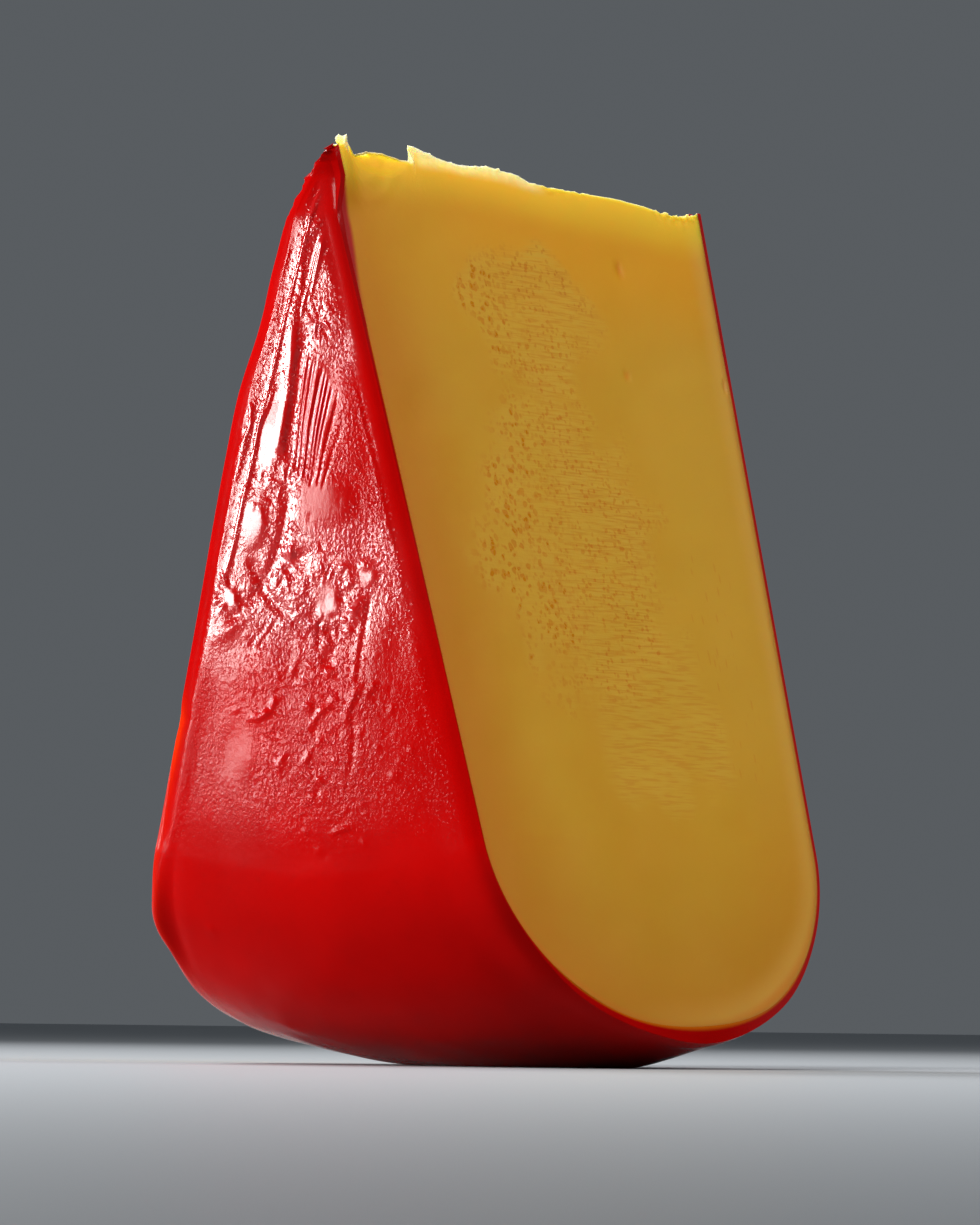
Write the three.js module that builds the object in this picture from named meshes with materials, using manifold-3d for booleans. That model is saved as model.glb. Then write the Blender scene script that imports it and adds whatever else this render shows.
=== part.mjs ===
// Wedge of red-waxed wheel cheese, stood on its rounded rim with the torn tip up.
// Units are millimetres, +Z is up, and the origin is the middle of the flat that the rim rests on.
// The wheel's axis runs along X: the waxed faces look to -X and +X, and the knife cuts to -Y and +Y.
import * as THREE from "three";
import { mergeVertices } from "three/addons/utils/BufferGeometryUtils.js";
import Module from "manifold-3d";

const wasm = await Module();
wasm.setup();

// Driving dimensions.
const WHEEL_RADIUS = 118; // from the wheel's axis to the outside of the rim
const AXIS_HALF_THICKNESS = 37.9; // from the middle of the wheel to the outside of a waxed face, at the axis
const FACE_TAPER = 0.047; // how much a waxed face closes in for each millimetre away from the axis
const RIM_DEPTH = 24.3; // radial depth of the half-elliptic rim
const WEDGE_ANGLE = THREE.MathUtils.degToRad(30); // between the two knife cuts
const WAX_THICKNESS = 1.1;
const FIT_GAP = 0.3; // clear space between the wax and the cheese paste
const REST_DEPTH = 0.4; // how far the rim is pressed flat where it stands

// The tip: the back cut bends forward near the top and meets the front cut in a thin, torn ridge.
const RIDGE_HEIGHT = 108.2; // mean height of the ridge above the surface it stands on
const SHOULDER_HEIGHT = 76; // where the back cut starts to bend
const BEND_HEIGHT = 96; // the point of the back cut that the bend is drawn towards
const EDGE_HEIGHT = 110; // where the bent back cut would meet the front cut

// The torn ridge, as distance along the wheel's axis and height over RIDGE_HEIGHT, from -X to +X.
const TEAR = [
  [-35.2, 0.4],
  [-33.4, 1.4],
  [-32.2, 1.6],
  [-31.0, -0.4],
  [-26.5, -0.2],
  [-21.6, -0.5],
  [-20.4, 1.0],
  [-16.0, 1.0],
  [-10.8, 0.2],
  [-4.0, 0.5],
  [3.4, -0.6],
  [19.0, -0.9],
  [28.2, -1.6],
  [33.8, -1.6],
  [35.9, -1.1],
];

// How finely the curved surfaces are faceted.
const WHEEL_SEGMENTS = 216;
const RIM_POINTS = 26;
const BEND_POINTS = 6;

const PRISM_OVERLAP = 20; // how far a cutting prism runs past the cheese

const waxMaterial = new THREE.MeshStandardMaterial({ color: 0xb80c0e, roughness: 0.3, metalness: 0 });
const pasteMaterial = new THREE.MeshStandardMaterial({ color: 0xd9a441, roughness: 0.5, metalness: 0 });

// A closed geometry as a solid that can be cut and joined.
function toSolid(geometry) {
  geometry.deleteAttribute("normal");
  geometry.deleteAttribute("uv");
  const merged = mergeVertices(geometry, 1e-4);
  const mesh = new wasm.Mesh({
    numProp: 3,
    vertProperties: new Float32Array(merged.attributes.position.array),
    triVerts: new Uint32Array(merged.index.array),
  });
  return new wasm.Manifold(mesh);
}

// A finished solid as a named three.js mesh.
function toMesh(name, solid, material) {
  const { vertProperties, triVerts } = solid.getMesh();
  const geometry = new THREE.BufferGeometry();
  geometry.setAttribute("position", new THREE.BufferAttribute(vertProperties, 3));
  geometry.setIndex(new THREE.BufferAttribute(triVerts, 1));
  geometry.computeVertexNormals();
  const mesh = new THREE.Mesh(geometry, material);
  mesh.name = name;
  return mesh;
}

// The whole wheel, with its surface moved in by inset: tapered faces and a half-elliptic rim.
function wheel(inset) {
  const rimStart = WHEEL_RADIUS - RIM_DEPTH;
  const halfThickness = AXIS_HALF_THICKNESS - inset;
  const rimHalfWidth = halfThickness - FACE_TAPER * rimStart;
  const rimDepth = RIM_DEPTH - inset;
  const profile = [new THREE.Vector2(0, -halfThickness)];
  for (let i = 0; i <= RIM_POINTS; i++) {
    const angle = Math.PI * (i / RIM_POINTS - 0.5);
    profile.push(new THREE.Vector2(rimStart + rimDepth * Math.cos(angle), rimHalfWidth * Math.sin(angle)));
  }
  profile.push(new THREE.Vector2(0, halfThickness));
  // The half-step turn puts a flat facet, not an edge, at the lowest point.
  const halfStep = Math.PI / WHEEL_SEGMENTS;
  const geometry = new THREE.LatheGeometry(profile, WHEEL_SEGMENTS, halfStep);
  geometry.rotateZ(-Math.PI / 2);
  geometry.translate(0, 0, WHEEL_RADIUS - REST_DEPTH);
  return toSolid(geometry);
}

// What the two knife cuts leave, as a prism along X: the section is drawn in Y and Z.
function knifeCuts() {
  const axisHeight = WHEEL_RADIUS - REST_DEPTH;
  const cutY = (height) => (axisHeight - height) * Math.tan(WEDGE_ANGLE / 2);
  const section = new THREE.Shape();
  section.moveTo(-cutY(0), 0);
  section.lineTo(cutY(0), 0);
  section.lineTo(cutY(SHOULDER_HEIGHT), SHOULDER_HEIGHT);
  section.quadraticCurveTo(cutY(BEND_HEIGHT), BEND_HEIGHT, -cutY(EDGE_HEIGHT), EDGE_HEIGHT);
  section.closePath();
  return prismAlongX(section, AXIS_HALF_THICKNESS * 2 + PRISM_OVERLAP);
}

// A prism along X whose section is drawn in Y and Z.
function prismAlongX(section, length) {
  const geometry = new THREE.ExtrudeGeometry(section, {
    depth: length,
    bevelEnabled: false,
    curveSegments: BEND_POINTS,
  });
  geometry.translate(0, 0, -length / 2);
  geometry.applyMatrix4(
    new THREE.Matrix4().makeBasis(
      new THREE.Vector3(0, 1, 0),
      new THREE.Vector3(0, 0, 1),
      new THREE.Vector3(1, 0, 0),
    ),
  );
  return toSolid(geometry);
}

// Everything under the torn ridge line, as a prism along Y: the section is drawn in X and Z.
function belowTear() {
  const reach = AXIS_HALF_THICKNESS + PRISM_OVERLAP;
  const width = WHEEL_RADIUS;
  const first = TEAR[0];
  const last = TEAR[TEAR.length - 1];
  const section = new THREE.Shape();
  section.moveTo(-reach, 0);
  section.lineTo(reach, 0);
  section.lineTo(reach, RIDGE_HEIGHT + last[1]);
  for (const [x, rise] of [...TEAR].reverse()) section.lineTo(x, RIDGE_HEIGHT + rise);
  section.lineTo(-reach, RIDGE_HEIGHT + first[1]);
  section.closePath();
  const geometry = new THREE.ExtrudeGeometry(section, { depth: width, bevelEnabled: false });
  geometry.rotateX(Math.PI / 2);
  geometry.translate(0, width / 2, 0);
  return toSolid(geometry);
}

const wedge = knifeCuts().intersect(belowTear());

// The cheese paste fills the wheel inside the wax.
const paste = wheel(WAX_THICKNESS + FIT_GAP).intersect(wedge);

// The wax coat wraps both faces and the rim in one sheet, open at the knife cuts and at the tip.
const wax = wheel(0).subtract(wheel(WAX_THICKNESS)).intersect(wedge);

const cheeseWedge = new THREE.Group();
cheeseWedge.add(toMesh("cheese_paste", paste, pasteMaterial));
cheeseWedge.add(toMesh("wax_coat", wax, waxMaterial));

export default cheeseWedge;
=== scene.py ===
# %% [markdown]
# # A wedge of red-waxed cheese
# This lesson builds the looks of a cheese wedge around a fixed CAD frame. The real thing has two
# parts: a firm golden paste, and the coat of red wax that the whole wheel was dipped in before it
# was cut. Each part is modelled as its own closed piece, gets its own finish, and then stands in
# for the plain CAD solid of the same part.

# %% Load the fixed frame
import math
from types import SimpleNamespace
import bmesh
import bpy
import numpy as np
from mathutils import Matrix, Vector, noise


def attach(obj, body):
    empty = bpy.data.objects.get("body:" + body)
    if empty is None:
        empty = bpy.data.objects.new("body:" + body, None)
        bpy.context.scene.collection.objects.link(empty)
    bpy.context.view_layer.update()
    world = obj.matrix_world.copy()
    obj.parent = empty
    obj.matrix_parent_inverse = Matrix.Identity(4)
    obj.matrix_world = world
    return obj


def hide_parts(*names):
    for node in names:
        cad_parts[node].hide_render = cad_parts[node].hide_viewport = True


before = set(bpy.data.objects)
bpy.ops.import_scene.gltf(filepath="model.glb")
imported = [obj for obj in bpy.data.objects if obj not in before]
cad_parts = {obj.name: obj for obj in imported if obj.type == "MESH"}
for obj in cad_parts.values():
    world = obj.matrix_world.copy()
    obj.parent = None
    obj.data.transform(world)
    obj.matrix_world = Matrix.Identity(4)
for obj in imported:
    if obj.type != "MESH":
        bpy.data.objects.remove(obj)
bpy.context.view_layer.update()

# %% [markdown]
# ## The wheel that the wedge was cut from
# Everything follows from the wheel: two slightly coned faces, a half-elliptic rim, and two knife
# cuts through the axis. The wheel's axis runs along X at a known height, so any point is easy to
# say as a place along the axis, a distance from it and an angle round it. The pieces are drawn in
# millimetres, because those are a cheesemaker's numbers, and are scaled to metres at the end.

# %% The wheel's sizes, in millimetres
MM = 0.001
WHEEL_RADIUS = 118.0
REST_DEPTH = 0.4  # how far the rim is pressed flat where it stands
AXIS_HEIGHT = WHEEL_RADIUS - REST_DEPTH
HALF_THICKNESS = 37.9  # of the wheel, at its axis
FACE_TAPER = 0.047  # how much a face closes in for each millimetre away from the axis
RIM_DEPTH = 24.3
RIM_START = WHEEL_RADIUS - RIM_DEPTH
RIM_HALF_WIDTH = HALF_THICKNESS - FACE_TAPER * RIM_START
CUT_ANGLE = math.radians(15)  # each knife cut's angle from upright
WAX = 1.1  # thickness of the coat
HAIR_GAP = 0.01  # between the coat and the paste

AXIS_POINT = Vector((0, 0, AXIS_HEIGHT))
rng = np.random.default_rng(7)
print(f"wheel {2 * WHEEL_RADIUS:.0f} mm across, {2 * HALF_THICKNESS:.0f} mm thick at its axis")


def face_x(radius, inset=0.0):
    """Distance from the middle of the wheel to its face."""
    return HALF_THICKNESS - inset - FACE_TAPER * radius


def rim_point(turn, inset=0.0):
    """A point of the rim's half ellipse: turn runs from -1 at the -X face to 1 at the +X face."""
    angle = turn * math.pi / 2
    x = (RIM_HALF_WIDTH - inset) * math.sin(angle)
    radius = RIM_START + (RIM_DEPTH - inset) * math.cos(angle)
    limit = face_x(radius, inset)  # the cone of the face runs on until the ellipse turns away from it
    return max(-limit, min(limit, x)), radius


# %% [markdown]
# ## Reading and moving many points at once
# A mesh has tens of thousands of points, so the gentle shaping is done on all of them together:
# read the places into one array, work out the new ones, and write them back.

# %% Helpers for whole meshes of points


def places(bm):
    """All the points of a mesh as one array."""
    return np.array([v.co[:] for v in bm.verts])


def put_back(bm, points):
    """Move the points of a mesh to new places."""
    for vert, place in zip(bm.verts, points):
        vert.co = place


def ease(value):
    """A smooth step from 0 to 1."""
    value = np.clip(value, 0.0, 1.0)
    return value * value * (3 - 2 * value)


def rough(points, size, seed, octaves=3):
    """Smooth random relief between about -1 and 1, with lumps of the given size."""
    shift = Vector((seed * 13.7, seed * 5.3, seed * 9.1))
    found = [noise.fractal(Vector(p) / size + shift, 0.6, 2.1, octaves) for p in points]
    return np.array(found)


def finish_piece(bm, name, seams=math.radians(35)):
    """Turn a millimetre mesh into a finished object in metres."""
    bmesh.ops.scale(bm, vec=(MM, MM, MM), verts=bm.verts)
    for face in bm.faces:
        face.smooth = True
    for edge in bm.edges:
        edge.smooth = len(edge.link_faces) == 2 and edge.calc_face_angle(0) < seams
    mesh = bpy.data.meshes.new(name)
    bm.to_mesh(mesh)
    bm.free()
    piece = bpy.data.objects.new(name, mesh)
    bpy.context.scene.collection.objects.link(piece)
    triangles = sum(len(p.vertices) - 2 for p in mesh.polygons)
    print(f"{name}: {triangles} triangles")
    return piece


# %% [markdown]
# ## The tip
# A wheel is never cut quite to its axis: the tip tears off. Here the back cut bends forward near
# the top, so the wedge thins to a ragged crest a millimetre or two thick. Both pieces share this
# bend, so it is one function that narrows every level of the wedge towards its front cut.

# %% The bent tip and the torn crest
BEND_START = 76.0  # height where the back cut leaves its straight line
CREST_TOP = 109.0
THINNEST = 0.5  # of the crest
EARLY_PULL, LATE_PULL = 3.2, 3.0  # what the back cut gains by the crest: steadily, and in a last rush

# The crest, as places along the wheel's axis and heights.
CREST = [
    (-36.5, 108.2), (-34.8, 108.6), (-33.9, 109.2), (-33.1, 109.9), (-32.5, 109.1), (-31.4, 108.7),
    (-31.0, 107.6), (-30.4, 107.7), (-28.4, 108.2), (-25.4, 108.3), (-22.4, 107.9), (-20.3, 107.6),
    (-19.9, 107.9), (-19.5, 109.8), (-18.9, 109.7), (-16.2, 109.0), (-12.4, 108.45), (-10.8, 108.35),
    (-6.0, 108.7), (-1.2, 108.5), (0.5, 108.1), (3.2, 107.5), (10.0, 107.3), (19.3, 107.25),
    (25.5, 106.8), (28.6, 106.4), (33.0, 106.3), (34.8, 106.6), (35.9, 107.0), (37.5, 106.8),
]  # fmt: skip


def cut_y(height):
    """How far a straight cut is from the middle at a height."""
    return (AXIS_HEIGHT - height) * math.tan(CUT_ANGLE)


def crest_height(x):
    """Height of the crest at a place along the wheel's axis."""
    along, heights = np.array(CREST).T
    return np.interp(x, along, heights)


def tip_thickness(height):
    """Distance from the front cut to the bent back cut at a height."""
    up = np.clip((height - BEND_START) / (CREST_TOP - BEND_START), 0, 1)
    return np.maximum(2 * cut_y(height) - EARLY_PULL * up**1.4 - LATE_PULL * up**9, THINNEST)


def back_gap(points):
    """Distance from each point to the bent back cut."""
    _, y, z = points.T
    return tip_thickness(z) - cut_y(z) - y


def bend_forward(points):
    """Narrow the wedge towards its front cut above BEND_START, raggedly near the crest."""
    x, y, z = points.T
    lumps = rough(np.c_[x * 0.3, y * 0, z], 1.4, 3) * ease((z - 97) / 8)
    ragged = (0.4 + 0.8 * ease((-x - 33) / 2)) * lumps
    narrowed = (tip_thickness(z) + ragged) / np.maximum(2 * cut_y(z), 0.1)
    share = np.where(z > BEND_START, narrowed, 1.0)
    return np.c_[x, -cut_y(z) + (y + cut_y(z)) * share, z]


print(f"the tip is {tip_thickness(105.0):.1f} mm thick at a height of 105 mm")

# %% [markdown]
# A hand-made wheel is never a perfect figure. Three small departures are added to both pieces, so
# that they still fit each other: a fuller shoulder of the rim, a flatter lowest edge, and a waxed
# corner of the tip that leans in.

# %% Depart a little from the ideal wedge
SHOULDER_FULLNESS = 0.5
SHOULDER_TURN, SHOULDER_WIDTH = 0.62, 0.42  # radians round the rim from its lowest line towards +X
FLATTER_EDGE = 0.45
LEAN_IN, LEAN_FORWARD = 1.5, 0.8


def departures(points):
    """How far each point of the ideal wedge has to move."""
    x, y, z = points.T
    radius, angle = np.hypot(y, AXIS_HEIGHT - z), np.arctan2(y, AXIS_HEIGHT - z)
    turn = np.arctan2(x / RIM_HALF_WIDTH, (radius - RIM_START) / RIM_DEPTH)
    fuller = SHOULDER_FULLNESS * np.exp(-(((turn - SHOULDER_TURN) / SHOULDER_WIDTH) ** 2))
    fuller *= ease((radius - RIM_START + 2) / 14)
    flatter = FLATTER_EDGE * np.exp(-(((x - 3) / 11) ** 2)) * ease((-y - 19) / 9) * ease((14 - z) / 8)
    towards_front = 1 - 0.6 * np.clip(y / np.maximum(2 * cut_y(z), 1) + 0.5, 0, 1)
    leaning = ease((z - 99) / 6) * ease((-x - 31) / 5) * towards_front
    along = 0.4 * fuller + LEAN_IN * leaning
    return np.c_[along, fuller * np.sin(angle) - LEAN_FORWARD * leaning, flatter - fuller * np.cos(angle)]


def shape_wedge(points):
    """From a point of the plain wheel to the same point of this wedge."""
    return bend_forward(points) + departures(points)


# %% [markdown]
# ## The cheese paste
# The front cut is what the eye rests on, so its points matter most. A flat grid is mapped onto the
# cut: columns spread across the wheel's thickness, rows run from the crest to the rim, and the
# bottom row follows the ellipse. Spinning the grid's outline round the wheel's axis makes the hidden
# sides, and a turned copy of the grid closes the back. Rows crowd together near the torn crest.

# %% Lay out the cut and spin it through the wedge
CUT_COLUMNS = 176
CUT_ROWS = 205
SPIN_STEPS = 22
EDGE_CROWDING = 0.75  # 1 spreads the columns evenly along the rim, 0 evenly across the cut
CREST_CROWDING = 1.3


def lay_out_cut(bm):
    """Map a square grid onto the front cut."""
    inset = WAX + HAIR_GAP
    for vert in bm.verts:
        across, down = vert.co.x, (1 - vert.co.y) / 2
        across = (1 - EDGE_CROWDING) * across + EDGE_CROWDING * math.sin(across * math.pi / 2)
        side = face_x(RIM_START, inset)
        top = (AXIS_HEIGHT - crest_height(across * face_x(10, inset))) / math.cos(CUT_ANGLE)
        bottom = RIM_START + (RIM_DEPTH - inset) * math.sqrt(max(0.0, 1 - across**2))
        radius = top + (bottom - top) * down**CREST_CROWDING
        x = across * max(side, face_x(min(radius, RIM_START), inset))
        vert.co = (x, -radius * math.sin(CUT_ANGLE), AXIS_HEIGHT - radius * math.cos(CUT_ANGLE))


def make_paste():
    bm = bmesh.new()
    bmesh.ops.create_grid(bm, x_segments=CUT_COLUMNS, y_segments=CUT_ROWS, size=1)
    lay_out_cut(bm)
    front = bm.verts[:] + bm.edges[:] + bm.faces[:]
    outline = [e for e in bm.edges if e.is_boundary]
    ring = [v for v in bm.verts if v.is_boundary]
    back = bmesh.ops.duplicate(bm, geom=front)["geom"]
    back_verts = [g for g in back if isinstance(g, bmesh.types.BMVert)]
    turn = Matrix.Rotation(2 * CUT_ANGLE, 3, "X")
    bmesh.ops.rotate(bm, cent=AXIS_POINT, matrix=turn, verts=back_verts)
    bmesh.ops.spin(
        bm, geom=ring + outline, cent=AXIS_POINT, axis=(1, 0, 0), angle=2 * CUT_ANGLE, steps=SPIN_STEPS
    )
    bmesh.ops.remove_doubles(bm, verts=bm.verts, dist=0.004)
    bmesh.ops.recalc_face_normals(bm, faces=bm.faces)
    return bm


paste_mesh = make_paste()
print("paste open edges:", sum(e.is_boundary for e in paste_mesh.edges))

# %% [markdown]
# The knife and the tear leave their own marks. The blade drags the firm paste into a very gentle
# swell, the crest is crumbly in places and smooth where a flake came off like chipped glass, and
# beside the missing flake a little hook of cheese is left standing.

# %% Tear the crest and swell the cuts
EYES = [  # small round holes: x, height, half width, half height
    (17.2, 97.8, 0.62, 0.95), (14.2, 84.4, 0.42, 0.50), (34.3, 84.6, 0.4, 0.7),
]  # fmt: skip
EYE_DEPTH = 0.16
CHIP_DEPTH = 0.35  # of the flake that came off beside the hook
SWELL = 0.12
HIGHEST = 109.75


def pull(points, centre, radius, by):
    """Drag the points near a place, most at its centre, as a finger would."""
    near = np.exp(-(((points - centre) ** 2).sum(1)) / radius**2)
    return points + near[:, None] * np.array(by)


def chipped_flake(x, z):
    """Depth of the smooth scoop under the crest, with faint arcs like those in chipped glass."""
    scoop = 1 - ((x + 27) / 6.5) ** 2 - ((z - 108.5) / 3.4) ** 2
    arcs = np.hypot((x + 31) * 0.9, z - 108.5)
    faint = ease((x + 35) / 3) * ease((10 - arcs) / 5) * ease((arcs - 2) / 2)
    return ease(scoop * 1.6) * CHIP_DEPTH + 0.03 * np.sin(arcs * 2.6) * faint


def eye_dents(x, z):
    dents = np.zeros(len(x))
    for eye_x, eye_z, wide, tall in EYES:
        dents += np.exp(-((((x - eye_x) / wide) ** 2 + ((z - eye_z) / tall) ** 2) ** 1.5))
    return dents


def shape_paste(points):
    """Tear the crest, then press the blade's marks into the front cut."""
    x, y, z = points.T
    below = crest_height(x) - z
    at_crest = np.exp(-np.maximum(below, 0) / 0.8)
    crumbly = ease((x + 22) / 2) * ease((15 - x) / 4) + ease((x - 24) / 4)
    ragged = rough(np.c_[x, y * 0, z * 0], 0.9, 1, 4) * (0.06 + 0.20 * crumbly)
    z = z + (ragged - 0.25) * at_crest
    points = shape_wedge(np.c_[x, y, z])
    on_front = np.clip(1 - (points[:, 1] + cut_y(points[:, 2])) / 0.2, 0, 1)
    crumbs = rough(points, 0.7, 2, 3) * at_crest * crumbly
    radius = np.hypot(y, AXIS_HEIGHT - z)
    to_side = np.minimum(face_x(radius, WAX) - np.abs(x), WHEEL_RADIUS - radius)
    swell = rough(np.c_[x, y, z * 1.6], 16, 4, 2) * SWELL * ease(to_side / 6) * ease(below / 6)
    depth = chipped_flake(x, z) - 0.3 * crumbs + swell + EYE_DEPTH * eye_dents(x, z)
    points[:, 1] += on_front * depth
    points = pull(points, (-19.2, -2.6, 109.6), 0.9, (-2.0, 0.0, 0.2))  # the hook
    points = pull(points, (-32.0, -2.6, 109.8), 0.8, (0.5, 0.0, 0.1))  # the flap beside the wax
    points[:, 2] = np.minimum(points[:, 2], HIGHEST)
    return points


put_back(paste_mesh, shape_paste(places(paste_mesh)))
print(f"the crest reaches {places(paste_mesh)[:, 2].max():.2f} mm")

# %% [markdown]
# ## The wax coat
# Cheese wax is put on hot, in a thin coat that is smooth where it ran and puckered where the
# wrapping pressed on it. The coat is a thin sheet that turns round both faces and the rim, so one
# closed outline of its section is spun about the wheel's axis through the angle of the wedge. The
# outline has many points on the -X face, which shows every crease, and few on the inside, except
# round the rim, where the inside has to follow the paste so closely that no chord cuts into it.

# %% Spin the section of the coat
WAX_STEPS = 150
FINE, MEDIUM, COARSE, HIDDEN = 0.23, 0.6, 1.4, 4.0  # spacing of points along the section
SEAM = 1.2  # spacing along the inside of the rim
RIM_LENGTH = 92.0  # along the half ellipse


def run_of(start, stop, spacing):
    """Even steps from start to stop, about as long as the spacing."""
    return np.linspace(start, stop, max(2, round(abs(stop - start) / spacing)) + 1)


def section_of_coat():
    """The closed outline of the coat as (x, radius), outside first and then back along the inside."""
    tips = [(AXIS_HEIGHT - crest_height(x)) / math.cos(CUT_ANGLE) for x in (-37.4, 37.4)]
    outer = [(-face_x(r), r) for r in run_of(tips[0], RIM_START, FINE)[:-1]]
    half = RIM_LENGTH / 2
    outer += [rim_point(t) for t in -1 + run_of(0, half, MEDIUM)[:-1] / half]
    outer += [rim_point(t) for t in run_of(0, half, COARSE)[:-1] / half]
    outer += [(face_x(r), r) for r in run_of(RIM_START, tips[1], COARSE)]
    inner = [(face_x(r, WAX), r) for r in run_of(tips[1], RIM_START, HIDDEN)[:-1]]
    inner += [rim_point(-t, WAX) for t in -1 + run_of(0, RIM_LENGTH, SEAM)[:-1] / half]
    inner += [(-face_x(r, WAX), r) for r in run_of(RIM_START, tips[0], HIDDEN)]
    return outer, inner


def make_coat():
    bm = bmesh.new()
    outer, inner = section_of_coat()
    side, lean = math.sin(CUT_ANGLE), math.cos(CUT_ANGLE)
    verts = [bm.verts.new((x, -r * side, AXIS_HEIGHT - r * lean)) for x, r in outer + inner]
    edges = [bm.edges.new(pair) for pair in zip(verts, verts[1:] + verts[:1])]
    bmesh.ops.spin(
        bm, geom=verts + edges, cent=AXIS_POINT, axis=(1, 0, 0), angle=2 * CUT_ANGLE, steps=WAX_STEPS
    )
    ends = bmesh.ops.holes_fill(bm, edges=[e for e in bm.edges if e.is_boundary], sides=0)
    bmesh.ops.triangulate(bm, faces=ends["faces"], quad_method="BEAUTY", ngon_method="BEAUTY")
    bmesh.ops.recalc_face_normals(bm, faces=bm.faces)
    return bm


coat_mesh = make_coat()
print("coat points:", len(coat_mesh.verts), "open edges:", sum(e.is_boundary for e in coat_mesh.edges))

# %% [markdown]
# The relief of the wax is sculpted with a few kinds of stroke, each giving a height in millimetres
# at every point: a fold along a line, a round bump or dent, and a pucker with creases like spokes.
# Places on the face are given as (y, height), so a stroke is put where the eye sees it.

# %% Strokes for sculpting the wax


def fold(at, line, width, height):
    """A smooth ridge, or a groove where height is negative, along a line and tapered at its ends."""
    line = np.array(line, float)
    steps = np.hypot(*np.diff(line, axis=0).T)
    run = np.r_[0, np.cumsum(steps)]
    best = np.full(len(at), 1e9)
    along = np.zeros(len(at))
    for a, b, length, start in zip(line, line[1:], steps, run):
        t = np.clip((at - a) @ (b - a) / length**2, 0, 1)
        away = np.hypot(*(at - a - t[:, None] * (b - a)).T)
        closer = away < best
        best = np.where(closer, away, best)
        along = np.where(closer, start + t * length, along)
    taper = ease(along / (1.5 * width + 0.3)) * ease((run[-1] - along) / (1.5 * width + 0.3))
    return height * np.exp(-((best / width) ** 2)) * (0.3 + 0.7 * taper)


def bump(at, y, z, wide, tall, height, turn=0.0, flat=2.0):
    """A round bump or dent. A larger flat gives it a flatter top and a steeper side."""
    c, s = math.cos(math.radians(turn)), math.sin(math.radians(turn))
    dy, dz = at[:, 0] - y, at[:, 1] - z
    away = np.hypot((dy * c + dz * s) / wide, (dz * c - dy * s) / tall)
    return height * np.exp(-(away**flat))


def pucker(at, y, z, hole, reach, spokes, height, seed):
    """Short uneven creases that point at a smooth middle, as where warm wax was gathered."""
    dice = np.random.default_rng(seed)
    total = np.zeros(len(at))
    for spoke in range(spokes):
        around = 2 * math.pi * (spoke + dice.uniform(-0.4, 0.4)) / spokes
        start = hole * dice.uniform(0.75, 1.3)
        stop = start + (reach - hole) * dice.uniform(0.3, 1.0)
        turns = around + dice.uniform(-0.3, 0.3) * np.array([0, 0.4, 1])
        steps = zip(np.linspace(start, stop, 3), turns)
        line = [(y + r * math.cos(a), z + r * math.sin(a)) for r, a in steps]
        width = dice.uniform(0.14, 0.28)
        total += fold(at, line, width, height * dice.uniform(0.5, 1.3) * dice.choice((1, -1)))
    return total


# %% [markdown]
# The strokes of the -X face, from the top down: long folds that run down from the tip, a fan of
# fine grooves, smooth ovals where the wax was pressed flat, puckers round them, and a scatter of
# drops and dents. A smooth oval may lean a degree or more, because a flat place on a glossy face
# shines as one piece or not at all, by the way it is tilted.

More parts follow.
